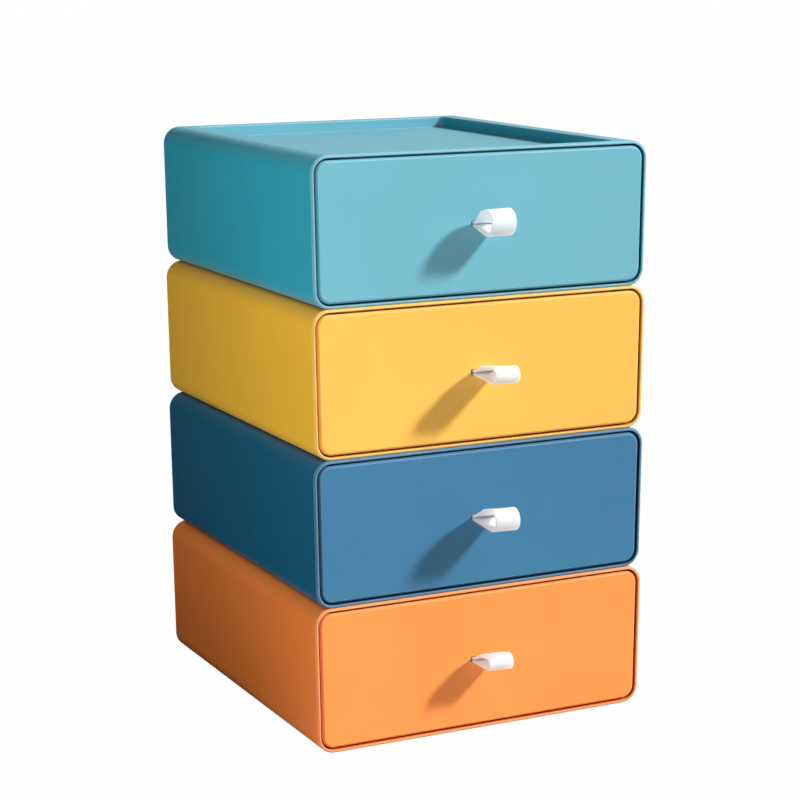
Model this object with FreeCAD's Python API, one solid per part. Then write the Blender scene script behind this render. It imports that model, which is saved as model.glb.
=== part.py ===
import FreeCAD, Part
import math
import os

# Four stackable desk drawers. Each module is a case that is open at the front,
# a sliding drawer, a folded strap as pull, the rivet that holds the strap, and
# four pads. Lengths are in mm. +Z is up and the drawers open towards -Y.
# The origin is on the desk, below the middle of the whole outline.

# Case
CASE_WIDTH = 250.0          # outside, at the top edge
CASE_DEPTH = 265.0
CASE_HEIGHT = 99.0          # also the stacking pitch
SIDE_TAPER = 1.75           # each side comes in by this from top to bottom
WALL = 2.0
CORNER_RADIUS = 12.0        # the four long corners
FRONT_EDGE_CHAMFER = 1.0
BACK_EDGE_CHAMFER = 1.2

# Tray sunk into the top of each case
RIM_SIDE = 24.0
RIM_BACK = 9.0
TRAY_DEPTH = 7.8
TRAY_CORNER_RADIUS = 4.0
RIM_EDGE_CHAMFER = 0.6

# Drawer
FRONT_GAP = 1.3             # round the drawer front
PANEL_THICKNESS = 2.6
PANEL_EDGE_CHAMFER = 1.5
POCKET_CLEARANCE = 1.4      # drawer front to the wall of the top tray
BODY_WALL = 2.2
BODY_SIDE_CLEARANCE = 1.5
BODY_TOP_CLEARANCE = 1.2
BODY_BACK_CLEARANCE = 3.0
BODY_END_CHAMFER = 3.0      # inside, at both ends of the drawer body
BODY_BACK_CHAMFER = 2.0     # outside, at the back of the drawer body
DRAWER_TRAVEL = 200.0
STOP_CLEARANCE = 0.5        # left at full travel

# Inside of the case
GLIDE_WIDTH = 5.0
GLIDE_SPACING = 150.0
GLIDE_FRONT_SETBACK = 8.0
STOP_WIDTH = 22.0
STOP_SPACING = 120.0
STOP_THICKNESS = 3.0
STOP_OVERLAP = 2.4          # how far a stop reaches down behind the drawer's back
STOP_RAMP = 5.0
BUMPER_WIDTH = 14.0
BUMPER_HEIGHT = 18.0
BUMPER_SPACING = 120.0

# Strap pull: one flat strap folded into a loop, both ends through a slot
STRAP_WIDTH = 18.0
STRAP_THICKNESS = 1.5
STRAP_LENGTH = 108.0
LAYER_GAP = 0.4
NECK_LENGTH = 0.8           # straight part in front of the drawer front
NECK_RADIUS = 3.0
SHOULDER_RADIUS = 6.0       # where the upper layer ends its climb
SLOT_SIDE_CLEARANCE = 1.2
SLOT_HEIGHT = 3.9
SLOT_CORNER_RADIUS = 1.2

# Rivet through both strap ends
RIVET_RADIUS = 1.8
RIVET_CLEARANCE = 0.15
RIVET_HEAD_RADIUS = 4.0
RIVET_HEAD_HEIGHT = 1.3
RIVET_INSET = 5.0           # from the strap's ends

# Pads under each case
PAD_SIZE = 11.0             # square pads
PAD_STANDOUT = 2.2
PAD_TRAY_CLEARANCE = 1.0    # pad to the tray wall of the case below

# The loops hang differently. For each module from the bottom up: how far the
# loop stands out, how tall its round end is, how far that end is raised, and
# how far out and how high the shoulder of the upper layer is.
REACH_1 = 26.0
HEIGHT_1 = 10.1
RISE_1 = 2.9
SHOULDER_1 = 12.0
CREST_1 = 5.8
REACH_2 = 34.0
HEIGHT_2 = 15.2
RISE_2 = 3.7
SHOULDER_2 = 18.8
CREST_2 = 8.8
REACH_3 = 33.0
HEIGHT_3 = 11.4
RISE_3 = 2.1
SHOULDER_3 = 15.3
CREST_3 = 5.7
REACH_4 = 27.0
HEIGHT_4 = 17.9
RISE_4 = 2.6
SHOULDER_4 = 13.1
CREST_4 = 9.4
LOOP_SIZES = ("reach", "height", "rise", "shoulder", "crest")
LOOPS = (
    dict(zip(LOOP_SIZES, (REACH_1, HEIGHT_1, RISE_1, SHOULDER_1, CREST_1))),
    dict(zip(LOOP_SIZES, (REACH_2, HEIGHT_2, RISE_2, SHOULDER_2, CREST_2))),
    dict(zip(LOOP_SIZES, (REACH_3, HEIGHT_3, RISE_3, SHOULDER_3, CREST_3))),
    dict(zip(LOOP_SIZES, (REACH_4, HEIGHT_4, RISE_4, SHOULDER_4, CREST_4))),
)

OVERLAP = 1.0               # how far a cutting or joining block runs past a face

# Sizes that follow from the ones above
SIDE_SLOPE = SIDE_TAPER / CASE_HEIGHT
SLANT = math.hypot(1.0, SIDE_SLOPE)
LONGEST_REACH = max(loop["reach"] for loop in LOOPS)
FRONT_Y = (LONGEST_REACH - CASE_DEPTH) / 2.0
BACK_Y = FRONT_Y + CASE_DEPTH
PANEL_BACK_Y = FRONT_Y + PANEL_THICKNESS
RIM_FRONT = PANEL_THICKNESS + POCKET_CLEARANCE + WALL
TRAY_HALF_WIDTH = CASE_WIDTH / 2.0 - RIM_SIDE
TRAY_FRONT_Y = FRONT_Y + RIM_FRONT
TRAY_BACK_Y = BACK_Y - RIM_BACK
TRAY_FLOOR_Z = CASE_HEIGHT - TRAY_DEPTH
CEILING_Z = TRAY_FLOOR_Z - WALL
BODY_BOTTOM_Z = WALL + FRONT_GAP
BODY_TOP_Z = CEILING_Z - BODY_TOP_CLEARANCE
BODY_BACK_Y = BACK_Y - WALL - BODY_BACK_CLEARANCE
STOP_BACK_Y = BODY_BACK_Y - BODY_WALL - DRAWER_TRAVEL - STOP_CLEARANCE
SLOT_Z = CASE_HEIGHT / 2.0
SLOT_WIDTH = STRAP_WIDTH + 2.0 * SLOT_SIDE_CLEARANCE
LAYER_OFFSET = (LAYER_GAP + STRAP_THICKNESS) / 2.0
HALF_GRIP = LAYER_GAP / 2.0 + STRAP_THICKNESS
STRAP_Z = SLOT_Z - SLOT_HEIGHT / 2.0 + HALF_GRIP
PAD_INSET = PAD_TRAY_CLEARANCE + TRAY_CORNER_RADIUS * (1.0 - math.sqrt(0.5)) + PAD_SIZE / 2.0
PAD_X = TRAY_HALF_WIDTH - PAD_INSET
PAD_FRONT_Y = TRAY_FRONT_Y + PAD_INSET
PAD_BACK_Y = TRAY_BACK_Y - PAD_INSET


def half_width(z, margin):
    """Half the case's width at a height, less a margin square to its side."""
    return CASE_WIDTH / 2.0 - SIDE_SLOPE * (CASE_HEIGHT - z) - margin * SLANT


def rounded_face(corners, place, normal):
    """Flat face from (a, b, radius) corners, set into space by place(a, b)."""
    edges = []
    ends = []
    count = len(corners)
    for i, (a, b, radius) in enumerate(corners):
        before = corners[i - 1]
        after = corners[(i + 1) % count]
        u = (before[0] - a, before[1] - b)
        v = (after[0] - a, after[1] - b)
        u_len = math.hypot(u[0], u[1])
        v_len = math.hypot(v[0], v[1])
        u = (u[0] / u_len, u[1] / u_len)
        v = (v[0] / v_len, v[1] / v_len)
        if radius <= 0.0:
            ends.append(((a, b), (a, b)))
            continue
        half = math.acos(u[0] * v[0] + u[1] * v[1]) / 2.0
        reach = radius / math.tan(half)
        start = (a + u[0] * reach, b + u[1] * reach)
        stop = (a + v[0] * reach, b + v[1] * reach)
        middle = (u[0] + v[0], u[1] + v[1])
        length = math.hypot(middle[0], middle[1])
        near = radius / math.sin(half) - radius
        top = (a + middle[0] / length * near, b + middle[1] / length * near)
        edges.append(Part.Arc(place(*start), place(*top), place(*stop)).toShape())
        ends.append((start, stop))
    for i in range(count):
        start = place(*ends[i][1])
        stop = place(*ends[(i + 1) % count][0])
        if start.distanceToPoint(stop) > 1e-6:
            edges.append(Part.makeLine(start, stop))
    wire = Part.Wire(Part.__sortEdges__(edges))
    face = Part.Face(wire)
    if face.normalAt(0, 0).dot(normal) < 0.0:
        face.reverse()
    return face


def prism_along_y(corners, y_from, y_to):
    """Straight body whose (x, z) outline runs from one y to another."""
    face = rounded_face(
        corners,
        lambda x, z: FreeCAD.Vector(x, y_from, z),
        FreeCAD.Vector(0, 1, 0),
    )
    return face.extrude(FreeCAD.Vector(0, y_to - y_from, 0))


def prism_along_z(half_x, y_from, y_to, z_from, z_to, radius):
    """Upright block with rounded upright corners, centred on x = 0."""
    corners = [
        (-half_x, y_from, radius),
        (half_x, y_from, radius),
        (half_x, y_to, radius),
        (-half_x, y_to, radius),
    ]
    face = rounded_face(
        corners,
        lambda x, y: FreeCAD.Vector(x, y, z_from),
        FreeCAD.Vector(0, 0, 1),
    )
    return face.extrude(FreeCAD.Vector(0, 0, z_to - z_from))


def block(x_from, x_to, y_from, y_to, z_from, z_to):
    size = (x_to - x_from, y_to - y_from, z_to - z_from)
    return Part.makeBox(*size, FreeCAD.Vector(x_from, y_from, z_from))


def edges_where(shape, test):
    """Edges whose every sampled point passes the test."""
    found = []
    for edge in shape.Edges:
        if all(test(point) for point in edge.discretize(5)):
            found.append(edge)
    return found


def at_y(y):
    return lambda point: abs(point.y - y) < 1e-4


def at_z(z):
    return lambda point: abs(point.z - z) < 1e-4


def case_outline(margin):
    """The case's front outline, moved in by a margin on every side."""
    low = margin
    high = CASE_HEIGHT - margin
    radius = CORNER_RADIUS - margin
    return [
        (-half_width(low, margin), low, radius),
        (half_width(low, margin), low, radius),
        (half_width(high, margin), high, radius),
        (-half_width(high, margin), high, radius),
    ]


def tray_block(margin, z_from):
    """The sunk tray's space, made larger by a margin on its sides."""
    return prism_along_z(
        TRAY_HALF_WIDTH + margin,
        TRAY_FRONT_Y - margin,
        TRAY_BACK_Y + margin,
        z_from,
        CASE_HEIGHT + OVERLAP,
        TRAY_CORNER_RADIUS + margin,
    )


def make_case():
    body = prism_along_y(case_outline(0.0), FRONT_Y, BACK_Y)
    body = body.makeChamfer(FRONT_EDGE_CHAMFER, edges_where(body, at_y(FRONT_Y)))
    body = body.makeChamfer(BACK_EDGE_CHAMFER, edges_where(body, at_y(BACK_Y)))

    cavity = prism_along_y(case_outline(WALL), FRONT_Y - OVERLAP, BACK_Y - WALL)
    cavity = cavity.cut(tray_block(WALL, CEILING_Z))
    body = body.cut(cavity)

    body = body.cut(tray_block(0.0, TRAY_FLOOR_Z))
    rim = [edge for edge in edges_where(body, at_z(CASE_HEIGHT)) if inside_rim(edge)]
    body = body.makeChamfer(RIM_EDGE_CHAMFER, rim)

    for side in (-1.0, 1.0):
        body = body.fuse(glide(side))
        body = body.fuse(stop(side))
        body = body.fuse(bumper(side))
    return body.removeSplitter()


def inside_rim(edge):
    """True for the edges round the mouth of the sunk tray."""
    return all(
        abs(point.x) < TRAY_HALF_WIDTH + 1e-3
        and TRAY_FRONT_Y - 1e-3 < point.y < TRAY_BACK_Y + 1e-3
        for point in edge.discretize(5)
    )


def glide(side):
    """Low rib on the case's floor that the drawer slides on."""
    middle = side * GLIDE_SPACING / 2.0
    return block(
        middle - GLIDE_WIDTH / 2.0,
        middle + GLIDE_WIDTH / 2.0,
        FRONT_Y + GLIDE_FRONT_SETBACK,
        BACK_Y - WALL + OVERLAP,
        WALL - OVERLAP,
        BODY_BOTTOM_Z,
    )


def stop(side):
    """Tooth under the tray floor, ramped in front, that catches the drawer's back."""
    middle = side * STOP_SPACING / 2.0
    low = BODY_TOP_Z - STOP_OVERLAP
    high = CEILING_Z + OVERLAP
    front = STOP_BACK_Y - STOP_THICKNESS
    x = middle - STOP_WIDTH / 2.0
    points = [
        (STOP_BACK_Y, high),
        (STOP_BACK_Y, low),
        (front, low),
        (front - STOP_RAMP, CEILING_Z),
        (front - STOP_RAMP, high),
    ]
    outline = [FreeCAD.Vector(x, y, z) for y, z in points]
    wire = Part.makePolygon(outline + outline[:1])
    return Part.Face(wire).extrude(FreeCAD.Vector(STOP_WIDTH, 0, 0))


def bumper(side):
    """Raised block on the back wall that the shut drawer rests against."""
    middle = side * BUMPER_SPACING / 2.0
    return block(
        middle - BUMPER_WIDTH / 2.0,
        middle + BUMPER_WIDTH / 2.0,
        BODY_BACK_Y,
        BACK_Y - WALL + OVERLAP,
        SLOT_Z - BUMPER_HEIGHT / 2.0,
        SLOT_Z + BUMPER_HEIGHT / 2.0,
    )


def body_outline(wall, z_top):
    """Outline of the drawer body, moved in by its wall for the inside."""
    margin = WALL + BODY_SIDE_CLEARANCE + wall
    low = BODY_BOTTOM_Z + wall
    radius = CORNER_RADIUS - margin
    return [
        (-half_width(low, margin), low, radius),
        (half_width(low, margin), low, radius),
        (half_width(z_top, margin), z_top, 0.0),
        (-half_width(z_top, margin), z_top, 0.0),
    ]


def make_drawer():
    panel = prism_along_y(case_outline(WALL + FRONT_GAP), FRONT_Y, PANEL_BACK_Y)
    panel = panel.makeChamfer(PANEL_EDGE_CHAMFER, edges_where(panel, at_y(FRONT_Y)))

    outside = prism_along_y(body_outline(0.0, BODY_TOP_Z), PANEL_BACK_Y, BODY_BACK_Y)
    back_edges = [
        edge for edge in edges_where(outside, at_y(BODY_BACK_Y))
        if not at_z(BODY_TOP_Z)(edge.CenterOfMass)
    ]
    outside = outside.makeChamfer(BODY_BACK_CHAMFER, back_edges)

    inside_top = BODY_TOP_Z + OVERLAP
    inside_back = BODY_BACK_Y - BODY_WALL
    inside = prism_along_y(body_outline(BODY_WALL, inside_top), PANEL_BACK_Y, inside_back)
    end_edges = [
        edge
        for y in (PANEL_BACK_Y, inside_back)
        for edge in edges_where(inside, at_y(y))
        if not at_z(inside_top)(edge.CenterOfMass)
    ]
    inside = inside.makeChamfer(BODY_END_CHAMFER, end_edges)

    return panel.fuse(outside).cut(inside).cut(slot()).removeSplitter()


def slot():
    """Opening in the drawer front for the strap."""
    half_x = SLOT_WIDTH / 2.0
    half_z = SLOT_HEIGHT / 2.0
    corners = [
        (-half_x, SLOT_Z - half_z, SLOT_CORNER_RADIUS),
        (half_x, SLOT_Z - half_z, SLOT_CORNER_RADIUS),
        (half_x, SLOT_Z + half_z, SLOT_CORNER_RADIUS),
        (-half_x, SLOT_Z + half_z, SLOT_CORNER_RADIUS),
    ]
    return prism_along_y(corners, FRONT_Y - OVERLAP, PANEL_BACK_Y + OVERLAP)


class Line:
    """Straight piece of a path in the (y, z) plane."""

    def __init__(self, start, end):
        self.start = start
        self.end = end
        self.length = math.dist(start, end)

    def moved(self, offset):
        """The same piece, moved to the left of its direction."""
        along_y = (self.end[0] - self.start[0]) / self.length
        along_z = (self.end[1] - self.start[1]) / self.length
        shift = (-along_z * offset, along_y * offset)
        return Line(
            (self.start[0] + shift[0], self.start[1] + shift[1]),
            (self.end[0] + shift[0], self.end[1] + shift[1]),
        )

    def edge(self, place):
        return Part.makeLine(place(*self.start), place(*self.end))


class Bend:
    """Round piece of a path; the angle grows on a turn to the left."""

    def __init__(self, centre, radius, begin, finish):
        self.centre = centre
        self.radius = radius
        self.begin = begin
        self.finish = finish
        self.length = radius * abs(finish - begin)
        self.start = self.point(begin)
        self.end = self.point(finish)

    def point(self, angle):
        return (
            self.centre[0] + self.radius * math.cos(angle),
            self.centre[1] + self.radius * math.sin(angle),
        )

    def moved(self, offset):
        turn = 1.0 if self.finish > self.begin else -1.0
        return Bend(self.centre, self.radius - turn * offset, self.begin, self.finish)

    def mirrored(self, level):
        """The same bend upside down about a level, run the other way."""
        centre = (self.centre[0], 2.0 * level - self.centre[1])
        return Bend(centre, self.radius, -self.finish, -self.begin)

    def edge(self, place):
        middle = self.point((self.begin + self.finish) / 2.0)
        return Part.Arc(place(*self.start), place(*middle), place(*self.end)).toShape()


def neck_bend(centre, radius):
    """How the upper layer turns out of the slot towards the round end.

    Gives the bend and the direction in which the layer then runs on. It turns
    outwards, or inwards where the loop is raised by more than its height.
    """
    quarter = math.pi / 2.0
    neck_y = FRONT_Y - NECK_LENGTH
    for outward in (1.0, -1.0):
        pivot = (neck_y, STRAP_Z + LAYER_OFFSET + outward * NECK_RADIUS)
        sideways = radius + outward * NECK_RADIUS
        away = math.dist(pivot, centre)
        straight = math.sqrt(away * away - sideways * sideways)
        towards = math.atan2(centre[1] - pivot[1], centre[0] - pivot[0])
        heading = towards % (2.0 * math.pi) - math.atan2(sideways, straight)
        if outward * (math.pi - heading) >= 0.0:
            break
    begin = math.pi + outward * quarter
    bend = Bend(pivot, NECK_RADIUS, begin, heading + outward * quarter)
    return bend, heading


def heading_between(first, first_radius, second, second_radius):
    """Direction of the straight piece between two bends that both turn left."""
    towards = math.atan2(second[1] - first[1], second[0] - first[0])
    turn = math.asin((first_radius - second_radius) / math.dist(first, second))
    return towards % (2.0 * math.pi) + turn


def strap_path(loop):
    """Middle line of the folded strap, and how far back its ends reach."""
    quarter = math.pi / 2.0
    radius = (loop["height"] - STRAP_THICKNESS) / 2.0
    centre_y = FRONT_Y - loop["reach"] + loop["height"] / 2.0
    centre = (centre_y, STRAP_Z + loop["rise"])
    pivot = (FRONT_Y - loop["shoulder"], STRAP_Z + loop["crest"] - SHOULDER_RADIUS)
    upper_neck, climb = neck_bend(pivot, SHOULDER_RADIUS)
    above = heading_between(pivot, SHOULDER_RADIUS, centre, radius)
    shoulder = Bend(pivot, SHOULDER_RADIUS, climb - quarter, above - quarter)
    mirrored_neck, below = neck_bend((centre_y, STRAP_Z - loop["rise"]), radius)
    lower_neck = mirrored_neck.mirrored(STRAP_Z)

    round_end = Bend(centre, radius, above - quarter, 5.0 * quarter - below)
    loop_path = [
        upper_neck,
        Line(upper_neck.end, shoulder.start),
        shoulder,
        Line(shoulder.end, round_end.start),
        round_end,
        Line(round_end.end, lower_neck.start),
        lower_neck,
    ]
    used = sum(piece.length for piece in loop_path)
    end_y = FRONT_Y - NECK_LENGTH + (STRAP_LENGTH - used) / 2.0
    first = Line((end_y, upper_neck.start[1]), upper_neck.start)
    last = Line(lower_neck.end, (end_y, lower_neck.end[1]))
    return [first] + loop_path + [last], end_y


def make_strap(loop):
    path, end_y = strap_path(loop)

    def place(y, z):
        return FreeCAD.Vector(-STRAP_WIDTH / 2.0, y, z)

    edges = []
    sides = []
    for offset in (STRAP_THICKNESS / 2.0, -STRAP_THICKNESS / 2.0):
        moved = [piece.moved(offset) for piece in path]
        edges += [piece.edge(place) for piece in moved]
        sides.append(moved)
    edges.append(Part.makeLine(place(*sides[0][0].start), place(*sides[1][0].start)))
    edges.append(Part.makeLine(place(*sides[0][-1].end), place(*sides[1][-1].end)))
    wire = Part.Wire(Part.__sortEdges__(edges))
    strap = Part.Face(wire).extrude(FreeCAD.Vector(STRAP_WIDTH, 0, 0))
    hole_radius = RIVET_RADIUS + RIVET_CLEARANCE
    start = FreeCAD.Vector(0, end_y - RIVET_INSET, STRAP_Z - SLOT_HEIGHT)
    return strap.cut(Part.makeCylinder(hole_radius, 2.0 * SLOT_HEIGHT, start))


def make_rivet(loop):
    end_y = strap_path(loop)[1]
    y = end_y - RIVET_INSET
    low = FreeCAD.Vector(0, y, STRAP_Z - HALF_GRIP)
    rivet = Part.makeCylinder(RIVET_RADIUS, 2.0 * HALF_GRIP, low)
    for direction in (-1.0, 1.0):
        start = FreeCAD.Vector(0, y, STRAP_Z + direction * HALF_GRIP)
        axis = FreeCAD.Vector(0, 0, direction)
        head = Part.makeCylinder(RIVET_HEAD_RADIUS, RIVET_HEAD_HEIGHT, start, axis)
        rivet = rivet.fuse(head)
    return rivet.removeSplitter()


def make_pads():
    pads = []
    for x in (-PAD_X, PAD_X):
        for y in (PAD_FRONT_Y, PAD_BACK_Y):
            half = PAD_SIZE / 2.0
            pads.append(block(x - half, x + half, y - half, y + half, -PAD_STANDOUT, 0.0))
    return Part.makeCompound(pads)


def export(node, shape, level):
    """Write one node, lifted to its place in the stack."""
    placed = shape.copy()
    placed.translate(FreeCAD.Vector(0, 0, PAD_STANDOUT + level * CASE_HEIGHT))
    placed.exportStep(os.path.join("parts", node + ".step"))


os.makedirs("parts", exist_ok=True)
CASE = make_case()
DRAWER = make_drawer()
PADS = make_pads()
for level, loop in enumerate(LOOPS):
    number = str(level + 1)
    export("case_" + number, CASE, level)
    export("drawer_" + number, DRAWER, level)
    export("strap_" + number, make_strap(loop), level)
    export("rivet_" + number, make_rivet(loop), level)
    export("pads_" + number, PADS, level)
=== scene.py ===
import bmesh
import bpy
import math
from mathutils import Matrix, Vector


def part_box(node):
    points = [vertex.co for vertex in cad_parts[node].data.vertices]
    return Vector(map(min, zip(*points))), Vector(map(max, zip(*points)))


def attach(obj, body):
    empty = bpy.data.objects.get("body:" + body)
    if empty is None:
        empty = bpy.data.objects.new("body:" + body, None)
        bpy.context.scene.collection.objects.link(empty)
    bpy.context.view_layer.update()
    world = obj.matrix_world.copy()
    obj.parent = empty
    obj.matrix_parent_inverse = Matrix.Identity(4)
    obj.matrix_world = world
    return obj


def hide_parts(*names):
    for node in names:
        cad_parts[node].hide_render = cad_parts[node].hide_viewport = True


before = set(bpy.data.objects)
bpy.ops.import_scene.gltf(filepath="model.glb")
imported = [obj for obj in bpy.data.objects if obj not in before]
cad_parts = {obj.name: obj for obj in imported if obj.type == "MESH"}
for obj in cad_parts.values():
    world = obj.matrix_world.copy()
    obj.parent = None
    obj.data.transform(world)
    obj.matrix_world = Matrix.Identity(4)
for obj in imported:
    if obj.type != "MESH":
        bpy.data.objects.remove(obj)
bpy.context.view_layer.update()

# Sizes in metres. The strap's sizes repeat those of the part's source.
MM = 0.001
STRAP_WIDTH = 18.0 * MM
STRAP_THICKNESS = 1.5 * MM
STRAP_LENGTH = 108.0 * MM
STRAP_EDGE_RADIUS = 0.42 * MM
LAYER_GAP = 0.4 * MM
NECK_LENGTH = 0.8 * MM
NECK_RADIUS = 3.0 * MM
RIVET_INSET = 5.0 * MM
RIVET_HOLE_RADIUS = 1.95 * MM
HOLE_CUTTER_HEIGHT = 12.0 * MM
SHOULDER_RADIUS = 6.0 * MM
LOOP_SIZES = ("reach", "height", "rise", "shoulder", "crest")
LOOPS = {
    1: dict(zip(LOOP_SIZES, (26.0 * MM, 10.1 * MM, 2.9 * MM, 12.0 * MM, 5.8 * MM))),
    2: dict(zip(LOOP_SIZES, (34.0 * MM, 15.2 * MM, 3.7 * MM, 18.8 * MM, 8.8 * MM))),
    3: dict(zip(LOOP_SIZES, (33.0 * MM, 11.4 * MM, 2.1 * MM, 15.3 * MM, 5.7 * MM))),
    4: dict(zip(LOOP_SIZES, (27.0 * MM, 17.9 * MM, 2.6 * MM, 13.1 * MM, 9.4 * MM))),
}
# A loop hangs a little wider at its right edge than at its left one: how much
# its sizes change from the middle to the right edge.
FLARES = {
    1: {"height": 1.3 * MM, "crest": -0.2 * MM},
    2: {"height": 0.3 * MM, "rise": -0.15 * MM, "crest": -0.5 * MM},
    3: {"height": 0.2 * MM, "crest": -0.9 * MM},
    4: {"height": 0.1 * MM, "rise": 0.1 * MM},
}
RUN_RINGS = 14              # rings on each straight piece of the strap
NECK_RINGS = 8
END_RINGS = 34
CORNER_STEPS = 4            # steps round each long edge of the strap
HOLE_SEGMENTS = 32

# The photograph's camera, worked out from the case's corners in 800 x 800
IMAGE_SIZE = 800.0
FOCAL_PIXELS = 2260.8
CENTRE_ROW = 350.0
SENSOR_MM = 36.0
FARTHEST_SEEN = 100.0       # metres
CAMERA_PLACE = (-0.70276, -1.41450, 0.52707)
CAMERA_YAW = math.radians(-26.239)
CAMERA_PITCH = math.radians(10.100)
CAMERA_ROLL = math.radians(-0.223)

# Light. The key comes from the right front and from above, as the pulls' shadows
# show. The white floor in front lights the pulls from below and lifts the shadows. A
# soft box above lights the top, and one close to the left side lights that side from
# front to back. One behind lights the back, and gives no gloss.
KEY_FROM = (0.664, -0.473, 0.580)
KEY_STRENGTH = 4.2
KEY_ANGLE = math.radians(8.0)
SOFT_BOXES = {
    "above": {"place": (0.20, -0.45, 1.45), "size": 0.9, "power": 2.2, "gloss": True},
    "side": {"place": (-0.55, -0.20, 0.38), "size": 0.42, "power": 1.35, "gloss": True},
    "back": {"place": (0.35, 1.15, 0.25), "size": 0.9, "power": 9.0, "gloss": False},
}
SOFT_BOX_TARGET = (0.0, -0.05, 0.25)
SKY_STRENGTH = 0.05
FLOOR_LIGHT = 0.70          # grey of the floor in front, which lights the pulls from below
FLOOR_DARK = 0.06           # and of the floor behind
FLOOR_SIDE = (0.0, -1.0, 0.0)          # where the light part of the floor lies
FLOOR_SIZE = 30.0
FLOOR_ROUGHNESS = 0.9
WHITE_SIDE = (0.95, -0.30, 0.0)        # where gloss meets the white of the studio
WHITE_EDGE = 0.4            # fully white from here, as cosine of the turn away from it
FLAG_EDGE = -0.1            # and fully dark from here, where the flag stands
FLOOR_WHITENESS = 0.990     # share of the floor that the camera sees as plain white

# Colours as sRGB, turned into linear values below: first of the front and the top,
# then of the left and right faces, where the photo shows a fuller colour. The paler
# front copy and the fuller, mostly darker side copy are painted light and shade.
PLASTICS = {
    1: ("orange", (255, 151, 73), (255, 139, 60)),
    2: ("navy", (58, 119, 156), (8, 95, 128)),
    3: ("yellow", (255, 192, 84), (255, 196, 57)),
    4: ("teal", (112, 180, 197), (46, 168, 190)),
}
PLASTIC_GLOSS = 0.35
PLASTIC_IOR = 1.46
PLASTIC_ROUGHNESS = (0.42, 0.54)
STRAP_ROUGHNESS = (0.50, 0.62)
RUBBER_ROUGHNESS = (0.75, 0.9)
STRAP_COLOUR = (252, 252, 254)
STRAP_GLOW = 8.0 * MM       # how far light spreads inside the strap
STRAP_GLOW_TINT = (1.0, 0.96, 0.92)    # and how far of that in red, green and blue
RIVET_COLOUR = (228, 228, 228)
PAD_COLOUR = (150, 150, 152)
# Painted shade in gaps and hollows, where ambient occlusion finds walls close by.
GAP_REACH = 5.0 * MM        # how near a wall must be to shade a place
GAP_CLOSED = 0.08           # share of open sky at which a place has its deepest shade
GAP_OPEN = 0.70             # and at which it has none
GAP_SHADE = 0.5             # light left deep in a gap
GAP_FULLNESS = 1.5          # how much fuller the colour gets there
GAP_CURVE = 0.5             # below 1 the shade stays close to the gap
GAP_SAMPLES = 8
# Edges are polished to a lower roughness and paled towards this white as a painted highlight.
EDGE_HIGHLIGHT_WHITE = (0.94, 0.95, 1.0, 1.0)
EDGE_HIGHLIGHT_SHARE = 0.22            # how far edges turn white, as a painted highlight
EDGE_POLISH = 0.34          # their roughness
EDGE_TURN = 0.95            # cosine of the turn at which an edge is fully rubbed and fully highlit
EDGE_SOFTNESS = 0.9 * MM    # how far a moulded edge shades round its corner
EDGE_SAMPLES = 4

# Noise patterns: scale per metre, detail and, where given, roughness
FLOW_TONE = (9.0, 3.0, 0.55)
MATT_PATCHES = (60.0, 4.0, 0.6)
FLOW_MARKS = (25.0, 1.0)
PLASTIC_GRAIN = (2600.0, 2.0)
STRAP_TONE = (140.0, 3.0)
STRAP_WAVES = (160.0, 1.0)
STRAP_CELLS_SCALE = 1900.0
RUBBER_SPECKLE = (900.0, 3.0)

# Two shades of a colour: where in the noise they begin and end, and their levels
PLASTIC_SHADES = (0.35, 0.65, 0.97, 1.03)
STRAP_SHADES = (0.3, 0.7, 0.94, 1.02)
RUBBER_SHADES = (0.35, 0.65, 0.85, 1.05)

# Bumps: strength, and depth in metres
FLOW_BUMP = (0.10, 0.6 * MM)
GRAIN_BUMP = (0.25, 0.05 * MM)
WAVE_BUMP = (0.15, 0.15 * MM)
PEBBLE_BUMP = (0.22, 0.06 * MM)
SPECKLE_BUMP = (0.3, 0.08 * MM)


def linear(colour, level=1.0):
    """sRGB 0-255 to the linear values that the shader wants."""
    values = []
    for part in colour:
        share = part / 255.0
        if share <= 0.04045:
            value = share / 12.92
        else:
            value = ((share + 0.055) / 1.055) ** 2.4
        values.append(min(1.0, value * level))
    return (*values, 1.0)


def new_material(name):
    material = bpy.data.materials.new(name)
    material.use_nodes = True
    tree = material.node_tree
    tree.nodes.clear()
    output = tree.nodes.new("ShaderNodeOutputMaterial")
    shader = tree.nodes.new("ShaderNodeBsdfPrincipled")
    tree.links.new(shader.outputs["BSDF"], output.inputs["Surface"])
    return material, tree, shader


def place_nodes(tree):
    """The object's own coordinates, in metres."""
    return tree.nodes.new("ShaderNodeTexCoord").outputs["Object"]


def noise(tree, place, scale, detail=2.0, roughness=0.5):
    node = tree.nodes.new("ShaderNodeTexNoise")
    node.inputs["Scale"].default_value = scale
    node.inputs["Detail"].default_value = detail
    node.inputs["Roughness"].default_value = roughness
    tree.links.new(place, node.inputs["Vector"])
    return node.outputs["Fac"]


def ramp(tree, factor, low, high, colours):
    """Colour ramp with two stops."""
    node = tree.nodes.new("ShaderNodeValToRGB")
    node.color_ramp.elements[0].position = low
    node.color_ramp.elements[1].position = high
    node.color_ramp.elements[0].color = colours[0]
    node.color_ramp.elements[1].color = colours[1]
    tree.links.new(factor, node.inputs["Fac"])
    return node.outputs["Color"]


def shades(tree, factor, colour, begin, end, darker, paler):
    """A colour that wavers between a darker and a paler level."""
    return ramp(tree, factor, begin, end, (linear(colour, darker), linear(colour, paler)))


def spread(tree, factor, low, high):
    """A factor between 0 and 1 spread over a range of values."""
    node = tree.nodes.new("ShaderNodeMapRange")
    node.inputs["To Min"].default_value = low
    node.inputs["To Max"].default_value = high
    tree.links.new(factor, node.inputs["Value"])
    return node.outputs["Result"]


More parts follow.
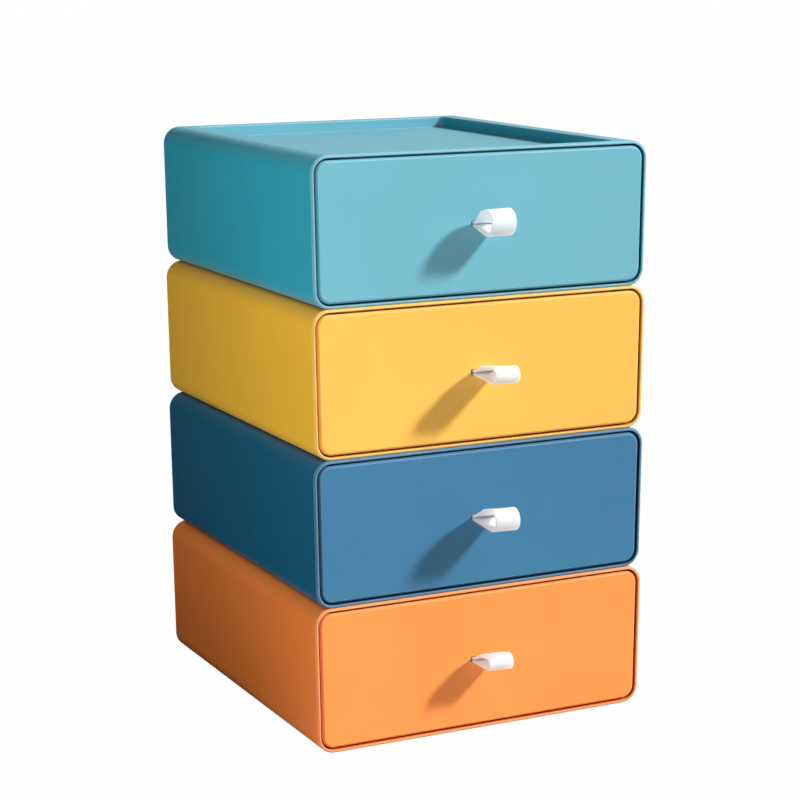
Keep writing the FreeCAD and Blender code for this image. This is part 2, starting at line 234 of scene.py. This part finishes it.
def bump(tree, height, strength, distance, below=None):
    node = tree.nodes.new("ShaderNodeBump")
    node.inputs["Strength"].default_value = strength
    node.inputs["Distance"].default_value = distance
    tree.links.new(height, node.inputs["Height"])
    if below is not None:
        tree.links.new(below, node.inputs["Normal"])
    return node.outputs["Normal"]


def map_range(tree, value, low, high):
    """0 at the low value, 1 at the high one."""
    node = tree.nodes.new("ShaderNodeMapRange")
    node.inputs["From Min"].default_value = low
    node.inputs["From Max"].default_value = high
    tree.links.new(value, node.inputs["Value"])
    return node.outputs["Result"]


def blend_colours(tree, share, first, second):
    """The first colour at share 0, the second at share 1. Either is a colour or a socket."""
    node = tree.nodes.new("ShaderNodeMix")
    node.data_type = "RGBA"
    tree.links.new(share, node.inputs["Factor"])
    for name, colour in (("A", first), ("B", second)):
        if isinstance(colour, bpy.types.NodeSocket):
            tree.links.new(colour, node.inputs[name])
        else:
            node.inputs[name].default_value = colour
    return node.outputs["Result"]


def power(tree, value, exponent):
    node = tree.nodes.new("ShaderNodeMath")
    node.operation = "POWER"
    node.inputs[1].default_value = exponent
    tree.links.new(value, node.inputs[0])
    return node.outputs["Value"]


def math_node(tree, operation, first, second):
    node = tree.nodes.new("ShaderNodeMath")
    node.operation = operation
    tree.links.new(first, node.inputs[0])
    tree.links.new(second, node.inputs[1])
    return node.outputs["Value"]


def painted_gap_shade(tree, colour, body):
    """The body colour with painted shade: deeper and fuller where walls stand close together."""
    near = tree.nodes.new("ShaderNodeAmbientOcclusion")
    near.samples = GAP_SAMPLES
    near.inputs["Distance"].default_value = GAP_REACH
    openness = map_range(tree, near.outputs["AO"], GAP_CLOSED, GAP_OPEN)
    openness = power(tree, openness, GAP_CURVE)
    deep = [GAP_SHADE * part ** GAP_FULLNESS for part in linear(colour)[:3]]
    return blend_colours(tree, openness, (*deep, 1.0), body)


def rubbed_and_highlit_edges(tree, soft_normal):
    """1 where the surface turns and hands rub it, 0 on the faces: the mask for polished edges
    and for a painted highlight along them.
    """
    turn = tree.nodes.new("ShaderNodeVectorMath")
    turn.operation = "DOT_PRODUCT"
    tree.links.new(soft_normal, turn.inputs[0])
    tree.links.new(tree.nodes.new("ShaderNodeNewGeometry").outputs["Normal"], turn.inputs[1])
    return map_range(tree, turn.outputs["Value"], 1.0, EDGE_TURN)


def side_shade_mask(tree):
    """1 on faces that look left or right, 0 on the front and the top: where the shaded copy of
    the colour is painted.
    """
    parts = tree.nodes.new("ShaderNodeSeparateXYZ")
    tree.links.new(tree.nodes.new("ShaderNodeNewGeometry").outputs["Normal"], parts.inputs[0])
    return math_node(tree, "MULTIPLY", parts.outputs["X"], parts.outputs["X"])


def moulded_plastic(name, colour, side_shade_colour):
    """Fine-grained moulded plastic: flow marks, matt grain, smoother edges with a painted
    highlight, painted shade on the sides and in gaps.
    """
    material, tree, shader = new_material(name)
    place = place_nodes(tree)
    edge = tree.nodes.new("ShaderNodeBevel")
    edge.samples = EDGE_SAMPLES
    edge.inputs["Radius"].default_value = EDGE_SOFTNESS
    rubbed_and_highlit = rubbed_and_highlit_edges(tree, edge.outputs["Normal"])

    flow = noise(tree, place, *FLOW_TONE)
    front = shades(tree, flow, colour, *PLASTIC_SHADES)
    shaded_sides = shades(tree, flow, side_shade_colour, *PLASTIC_SHADES)
    # Painted light and shade: faces that look left or right get the fuller, mostly darker copy
    # of the colour, and the front and the top get the paler one.
    body = blend_colours(tree, side_shade_mask(tree), front, shaded_sides)
    # Painted highlight: edges pale towards white.
    body = blend_colours(tree, spread(tree, rubbed_and_highlit, 0.0, EDGE_HIGHLIGHT_SHARE), body, EDGE_HIGHLIGHT_WHITE)
    # Painted shade: deeper, fuller colour where walls stand close together.
    tree.links.new(painted_gap_shade(tree, colour, body), shader.inputs["Base Color"])

    matt = spread(tree, noise(tree, place, *MATT_PATCHES), *PLASTIC_ROUGHNESS)
    roughness = tree.nodes.new("ShaderNodeMix")
    roughness.inputs["B"].default_value = EDGE_POLISH
    tree.links.new(rubbed_and_highlit, roughness.inputs["Factor"])
    tree.links.new(matt, roughness.inputs["A"])
    tree.links.new(roughness.outputs["Result"], shader.inputs["Roughness"])

    marks = noise(tree, place, *FLOW_MARKS)
    soft = bump(tree, marks, *FLOW_BUMP, edge.outputs["Normal"])
    grain = bump(tree, noise(tree, place, *PLASTIC_GRAIN), *GRAIN_BUMP, soft)
    tree.links.new(grain, shader.inputs["Normal"])
    shader.inputs["IOR"].default_value = PLASTIC_IOR
    shader.inputs["Specular IOR Level"].default_value = PLASTIC_GLOSS
    return material


def coated_strap(name, colour):
    """Smooth coated strap with a pebbled grain that only shows from near."""
    material, tree, shader = new_material(name)
    place = place_nodes(tree)
    cells = tree.nodes.new("ShaderNodeTexVoronoi")
    cells.feature = "SMOOTH_F1"
    cells.inputs["Scale"].default_value = STRAP_CELLS_SCALE
    tree.links.new(place, cells.inputs["Vector"])
    tone = noise(tree, place, *STRAP_TONE)
    tree.links.new(shades(tree, tone, colour, *STRAP_SHADES), shader.inputs["Base Color"])
    tree.links.new(spread(tree, tone, *STRAP_ROUGHNESS), shader.inputs["Roughness"])
    waves = bump(tree, noise(tree, place, *STRAP_WAVES), *WAVE_BUMP)
    pebbles = bump(tree, cells.outputs["Distance"], *PEBBLE_BUMP, waves)
    tree.links.new(pebbles, shader.inputs["Normal"])
    shader.inputs["Subsurface Weight"].default_value = 1.0
    shader.inputs["Subsurface Radius"].default_value = STRAP_GLOW_TINT
    shader.inputs["Subsurface Scale"].default_value = STRAP_GLOW
    return material


def rubber(name, colour):
    """Dull rubber with a coarse speckle."""
    material, tree, shader = new_material(name)
    place = place_nodes(tree)
    speckle = noise(tree, place, *RUBBER_SPECKLE)
    tree.links.new(shades(tree, speckle, colour, *RUBBER_SHADES), shader.inputs["Base Color"])
    tree.links.new(spread(tree, speckle, *RUBBER_ROUGHNESS), shader.inputs["Roughness"])
    tree.links.new(bump(tree, speckle, *SPECKLE_BUMP), shader.inputs["Normal"])
    return material


def wear(obj, material):
    """Puts one material in every slot of an object."""
    if not obj.material_slots:
        obj.data.materials.append(material)
    for slot in obj.material_slots:
        slot.link = "OBJECT"
        slot.material = material


def on_circle(centre, radius, angle):
    return centre + radius * Vector((math.cos(angle), math.sin(angle)))


def run(start, end):
    """Points of a straight piece, without its last one."""
    return [start.lerp(end, i / RUN_RINGS) for i in range(RUN_RINGS)]


def bend(centre, radius, begin, finish, count):
    """Points of a round piece, without its last one."""
    step = (finish - begin) / count
    return [on_circle(centre, radius, begin + i * step) for i in range(count)]


def neck_bend(front_y, level, layer_offset, centre, radius):
    """Pivot, first and last angle of the neck, and the layer's direction after it."""
    quarter = math.pi / 2.0
    for outward in (1.0, -1.0):
        pivot = Vector((front_y - NECK_LENGTH, level + layer_offset + outward * NECK_RADIUS))
        sideways = radius + outward * NECK_RADIUS
        away = (centre - pivot).length
        straight = math.sqrt(away * away - sideways * sideways)
        towards = math.atan2(centre.y - pivot.y, centre.x - pivot.x)
        heading = towards % (2.0 * math.pi) - math.atan2(sideways, straight)
        if outward * (math.pi - heading) >= 0.0:
            break
    begin = math.pi + outward * quarter
    return pivot, begin, heading + outward * quarter, heading


def heading_between(first, first_radius, second, second_radius):
    """Direction of the straight piece between two bends that both turn left."""
    way = second - first
    turn = math.asin((first_radius - second_radius) / way.length)
    return math.atan2(way.y, way.x) % (2.0 * math.pi) + turn


def strap_line(loop, front_y, level):
    """Middle line of the folded strap in the (y, z) plane, and where its ends are."""
    quarter = math.pi / 2.0
    layer_offset = (LAYER_GAP + STRAP_THICKNESS) / 2.0
    radius = (loop["height"] - STRAP_THICKNESS) / 2.0
    centre_y = front_y - loop["reach"] + loop["height"] / 2.0
    centre = Vector((centre_y, level + loop["rise"]))
    mirrored_centre = Vector((centre_y, level - loop["rise"]))
    pivot = Vector((front_y - loop["shoulder"], level + loop["crest"] - SHOULDER_RADIUS))
    upper = neck_bend(front_y, level, layer_offset, pivot, SHOULDER_RADIUS)
    above = heading_between(pivot, SHOULDER_RADIUS, centre, radius)
    lower = neck_bend(front_y, level, layer_offset, mirrored_centre, radius)
    lower_pivot = Vector((lower[0].x, 2.0 * level - lower[0].y))

    upper_end = on_circle(upper[0], NECK_RADIUS, upper[2])
    lower_start = on_circle(lower_pivot, NECK_RADIUS, -lower[2])
    climb_angle = upper[3] - quarter
    first_angle = above - quarter
    last_angle = 5.0 * quarter - lower[3]
    shoulder_start = on_circle(pivot, SHOULDER_RADIUS, climb_angle)
    shoulder_end = on_circle(pivot, SHOULDER_RADIUS, first_angle)
    round_start = on_circle(centre, radius, first_angle)
    round_end = on_circle(centre, radius, last_angle)
    used = (
        NECK_RADIUS * (abs(upper[2] - upper[1]) + abs(lower[2] - lower[1]))
        + (shoulder_start - upper_end).length
        + SHOULDER_RADIUS * abs(first_angle - climb_angle)
        + (round_start - shoulder_end).length
        + radius * abs(last_angle - first_angle)
        + (lower_start - round_end).length
    )
    end_y = front_y - NECK_LENGTH + (STRAP_LENGTH - used) / 2.0
    neck_y = front_y - NECK_LENGTH
    points = run(Vector((end_y, level + layer_offset)), Vector((neck_y, level + layer_offset)))
    points += bend(upper[0], NECK_RADIUS, upper[1], upper[2], NECK_RINGS)
    points += run(upper_end, shoulder_start)
    points += bend(pivot, SHOULDER_RADIUS, climb_angle, first_angle, NECK_RINGS)
    points += run(shoulder_end, round_start)
    points += bend(centre, radius, first_angle, last_angle, END_RINGS)
    points += run(round_end, lower_start)
    points += bend(lower_pivot, NECK_RADIUS, -lower[2], -lower[1], NECK_RINGS)
    points += run(Vector((neck_y, level - layer_offset)), Vector((end_y, level - layer_offset)))
    points.append(Vector((end_y, level - layer_offset)))
    return points, end_y


def strap_section():
    """The strap's cross-section as (across the width, through the thickness)."""
    half_width = STRAP_WIDTH / 2.0 - STRAP_EDGE_RADIUS
    half_thickness = STRAP_THICKNESS / 2.0 - STRAP_EDGE_RADIUS
    section = []
    for corner, (side_x, side_t) in enumerate(((1, 1), (-1, 1), (-1, -1), (1, -1))):
        for step in range(CORNER_STEPS + 1):
            angle = (corner + step / CORNER_STEPS) * math.pi / 2.0
            section.append((
                side_x * half_width + STRAP_EDGE_RADIUS * math.cos(angle),
                side_t * half_thickness + STRAP_EDGE_RADIUS * math.sin(angle),
            ))
    return section


def beside(points, i, distance):
    """The place beside a point of a line, to the left of its direction."""
    before = points[max(0, i - 1)]
    after = points[min(len(points) - 1, i + 1)]
    along = (after - before).normalized()
    return points[i] + distance * Vector((-along.y, along.x))


def sweep_strap(name, left_line, right_line):
    """Skin of the strap between the lines of its left and its right edge."""
    mesh = bpy.data.meshes.new(name)
    skin = bmesh.new()
    rings = []
    for i in range(len(left_line)):
        ring = []
        for across, through in strap_section():
            share = across / STRAP_WIDTH + 0.5
            at = beside(left_line, i, through).lerp(beside(right_line, i, through), share)
            ring.append(skin.verts.new((across, at.x, at.y)))
        rings.append(ring)
    count = len(rings[0])
    for near, far in zip(rings, rings[1:]):
        for i in range(count):
            j = (i + 1) % count
            skin.faces.new((near[i], near[j], far[j], far[i]))
    skin.faces.new(rings[0])
    skin.faces.new(reversed(rings[-1]))
    bmesh.ops.recalc_face_normals(skin, faces=skin.faces)
    for face in skin.faces:
        face.smooth = True
    skin.to_mesh(mesh)
    skin.free()
    obj = bpy.data.objects.new(name, mesh)
    bpy.context.scene.collection.objects.link(obj)
    return obj


def punch_hole(obj, y, z):
    """Cuts the rivet's hole through both layers of a strap."""
    mesh = bpy.data.meshes.new("hole")
    tool = bmesh.new()
    bmesh.ops.create_cone(
        tool,
        cap_ends=True,
        segments=HOLE_SEGMENTS,
        radius1=RIVET_HOLE_RADIUS,
        radius2=RIVET_HOLE_RADIUS,
        depth=HOLE_CUTTER_HEIGHT,
    )
    bmesh.ops.translate(tool, verts=tool.verts, vec=(0.0, y, z))
    tool.to_mesh(mesh)
    tool.free()
    cutter = bpy.data.objects.new("hole", mesh)
    bpy.context.scene.collection.objects.link(cutter)
    modifier = obj.modifiers.new("hole", "BOOLEAN")
    modifier.operation = "DIFFERENCE"
    modifier.solver = "EXACT"
    modifier.object = cutter
    apply_modifiers(obj)
    bpy.data.objects.remove(cutter)


def apply_modifiers(obj):
    bpy.context.view_layer.update()
    graph = bpy.context.evaluated_depsgraph_get()
    made = bpy.data.meshes.new_from_object(obj.evaluated_get(graph))
    obj.modifiers.clear()
    obj.data = made


def make_strap(number):
    """The folded strap that replaces its plain solid."""
    node = "strap_" + str(number)
    loop = LOOPS[number]
    low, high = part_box(node)
    front_y = low.y + loop["reach"]
    level = (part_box("rivet_" + str(number))[0].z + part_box("rivet_" + str(number))[1].z) / 2.0
    end_y = strap_line(loop, front_y, level)[1]
    lines = []
    for side in (-1.0, 1.0):
        edge_loop = dict(loop)
        for size, change in FLARES[number].items():
            edge_loop[size] += side * change
        lines.append(strap_line(edge_loop, front_y, level)[0])
    strap = sweep_strap("folded_" + node, *lines)
    punch_hole(strap, end_y - RIVET_INSET, level)
    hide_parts(node)
    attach(strap, "sliding_drawer_" + str(number))
    return strap


def make_camera():
    """The camera that took the photograph."""
    yaw, pitch, roll = CAMERA_YAW, CAMERA_PITCH, CAMERA_ROLL
    back = Vector((
        math.sin(yaw) * math.cos(pitch),
        -math.cos(yaw) * math.cos(pitch),
        math.sin(pitch),
    ))
    right = (-back).cross(Vector((0.0, 0.0, 1.0))).normalized()
    up = right.cross(-back)
    turned_right = math.cos(roll) * right + math.sin(roll) * up
    turned_up = -math.sin(roll) * right + math.cos(roll) * up
    data = bpy.data.cameras.new("camera")
    data.sensor_width = SENSOR_MM
    data.lens = FOCAL_PIXELS / IMAGE_SIZE * SENSOR_MM
    data.shift_y = (CENTRE_ROW - IMAGE_SIZE / 2.0) / IMAGE_SIZE
    data.clip_end = FARTHEST_SEEN
    camera = bpy.data.objects.new("camera", data)
    turn = Matrix((turned_right, turned_up, back)).transposed().to_4x4()
    camera.matrix_world = Matrix.Translation(CAMERA_PLACE) @ turn
    bpy.context.scene.collection.objects.link(camera)
    bpy.context.scene.camera = camera


def make_lights():
    data = bpy.data.lights.new("key", "SUN")
    data.energy = KEY_STRENGTH
    data.angle = KEY_ANGLE
    key = bpy.data.objects.new("key", data)
    key.rotation_euler = Vector(KEY_FROM).to_track_quat("Z", "Y").to_euler()
    bpy.context.scene.collection.objects.link(key)

    for name, box in SOFT_BOXES.items():
        data = bpy.data.lights.new(name, "AREA")
        data.shape = "SQUARE"
        data.size = box["size"]
        data.energy = box["power"]
        light = bpy.data.objects.new(name, data)
        light.location = box["place"]
        light.visible_glossy = box["gloss"]
        away = Vector(box["place"]) - Vector(SOFT_BOX_TARGET)
        light.rotation_euler = away.to_track_quat("Z", "Y").to_euler()
        bpy.context.scene.collection.objects.link(light)


def studio_white(tree, direction, side):
    """1 towards the white side of the studio, 0 away from it."""
    unit = tree.nodes.new("ShaderNodeVectorMath")
    unit.operation = "NORMALIZE"
    tree.links.new(direction, unit.inputs[0])
    facing = tree.nodes.new("ShaderNodeVectorMath")
    facing.operation = "DOT_PRODUCT"
    facing.inputs[1].default_value = side
    tree.links.new(unit.outputs["Vector"], facing.inputs[0])
    return map_range(tree, facing.outputs["Value"], FLAG_EDGE, WHITE_EDGE)


def backdrop_rays(tree, studio):
    """How white the surroundings are for a ray: 1 to the eye and through glass."""
    path = tree.nodes.new("ShaderNodeLightPath")
    gloss = math_node(tree, "MULTIPLY", path.outputs["Is Glossy Ray"], studio)
    seen = path.outputs["Is Camera Ray"]
    seen = math_node(tree, "MAXIMUM", seen, path.outputs["Is Transmission Ray"])
    return math_node(tree, "MAXIMUM", seen, gloss)


def make_world():
    world = bpy.data.worlds.new("studio")
    world.use_nodes = True
    tree = world.node_tree
    tree.nodes.clear()
    output = tree.nodes.new("ShaderNodeOutputWorld")
    sky = tree.nodes.new("ShaderNodeBackground")
    sky.inputs["Color"].default_value = (1.0, 1.0, 1.0, 1.0)
    towards = tree.nodes.new("ShaderNodeTexCoord").outputs["Generated"]
    rays = backdrop_rays(tree, studio_white(tree, towards, WHITE_SIDE))
    strength = spread(tree, rays, SKY_STRENGTH, 1.0)
    tree.links.new(strength, sky.inputs["Strength"])
    tree.links.new(sky.outputs["Background"], output.inputs["Surface"])
    bpy.context.scene.world = world


def make_floor():
    mesh = bpy.data.meshes.new("floor")
    half = FLOOR_SIZE / 2.0
    corners = [(-half, -half, 0.0), (half, -half, 0.0), (half, half, 0.0), (-half, half, 0.0)]
    mesh.from_pydata(corners, [], [(0, 1, 2, 3)])
    floor = bpy.data.objects.new("floor", mesh)
    bpy.context.scene.collection.objects.link(floor)
    material, tree, shader = new_material("floor")
    shader.inputs["Roughness"].default_value = FLOOR_ROUGHNESS
    white = tree.nodes.new("ShaderNodeEmission")
    mix = tree.nodes.new("ShaderNodeMixShader")
    output = next(n for n in tree.nodes if n.type == "OUTPUT_MATERIAL")
    place = place_nodes(tree)
    rays = backdrop_rays(tree, studio_white(tree, place, WHITE_SIDE))
    greys = [(level, level, level, 1.0) for level in (FLOOR_DARK, FLOOR_LIGHT)]
    shade = ramp(tree, studio_white(tree, place, FLOOR_SIDE), 0.0, 1.0, greys)
    tree.links.new(shade, shader.inputs["Base Color"])
    seen = spread(tree, rays, 0.0, FLOOR_WHITENESS)
    tree.links.new(seen, mix.inputs["Fac"])
    tree.links.new(shader.outputs["BSDF"], mix.inputs[1])
    tree.links.new(white.outputs["Emission"], mix.inputs[2])
    tree.links.new(mix.outputs["Shader"], output.inputs["Surface"])
    floor.data.materials.append(material)


def dress_module(number):
    """Materials of one module, and its strap."""
    name, colour, side_shade_colour = PLASTICS[number]
    plastic = moulded_plastic(name + "_plastic", colour, side_shade_colour)
    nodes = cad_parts
    wear(nodes["case_" + str(number)], plastic)
    wear(nodes["drawer_" + str(number)], plastic)
    wear(nodes["rivet_" + str(number)], rivet_plastic)
    wear(nodes["pads_" + str(number)], pad_rubber)
    wear(make_strap(number), strap_coat)


strap_coat = coated_strap("white_strap", STRAP_COLOUR)
rivet_plastic = moulded_plastic("white_plastic", RIVET_COLOUR, RIVET_COLOUR)
pad_rubber = rubber("pad_rubber", PAD_COLOUR)
for number in sorted(PLASTICS):
    dress_module(number)

make_camera()
make_lights()
make_world()
make_floor()
bpy.context.scene.view_settings.view_transform = "Standard"
